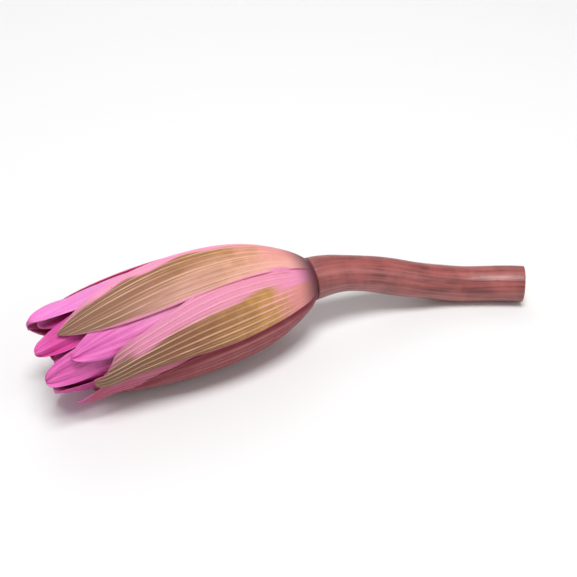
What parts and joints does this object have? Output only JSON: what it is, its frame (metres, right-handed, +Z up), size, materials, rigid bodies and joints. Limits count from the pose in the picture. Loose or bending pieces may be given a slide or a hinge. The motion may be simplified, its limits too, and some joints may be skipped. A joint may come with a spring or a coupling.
{
  "type": "cut water lily flower",
  "caption": "Half-open water lily flower lying on its side, ribbed sepals round nested petals, with a short curved length of cut stem.",
  "frame": {"origin": "middle of the whole flower's footprint, on the surface it lies on", "axes": "+Z up; the flower's axis lies along X with its mouth towards -X; the stem runs off towards +X and bends towards -Y"},
  "size_m": [0.1502, 0.0385, 0.0346],
  "materials": {
    "sepal": "satin living leaf, ribbed lengthwise, olive tan with pink edges",
    "petal": "soft satin petal, magenta to light orchid",
    "inner_petal": "soft satin petal, deep magenta",
    "stem": "smooth slightly glossy reddish-brown stem, paler where cut",
    "ovary": "smooth, pale yellow-brown",
    "stamen": "soft, yellow-orange"
  },
  "bodies": {
    "root": {"sepal_top": "sepal", "sepal_front": "sepal", "sepal_under": "sepal", "sepal_back": "sepal", "outer_petal_1": "petal", "outer_petal_2": "petal", "outer_petal_3": "petal", "outer_petal_4": "petal", "second_petal_1": "petal", "second_petal_2": "petal", "second_petal_3": "petal", "second_petal_4": "petal", "third_petal_1": "inner_petal", "third_petal_2": "inner_petal", "third_petal_3": "inner_petal", "third_petal_4": "inner_petal", "inner_petal_1": "inner_petal", "inner_petal_2": "inner_petal", "inner_petal_3": "inner_petal", "inner_petal_4": "inner_petal", "stem": "stem", "ovary": "ovary", "stamens": "stamen"}
  },
  "joints": []
}
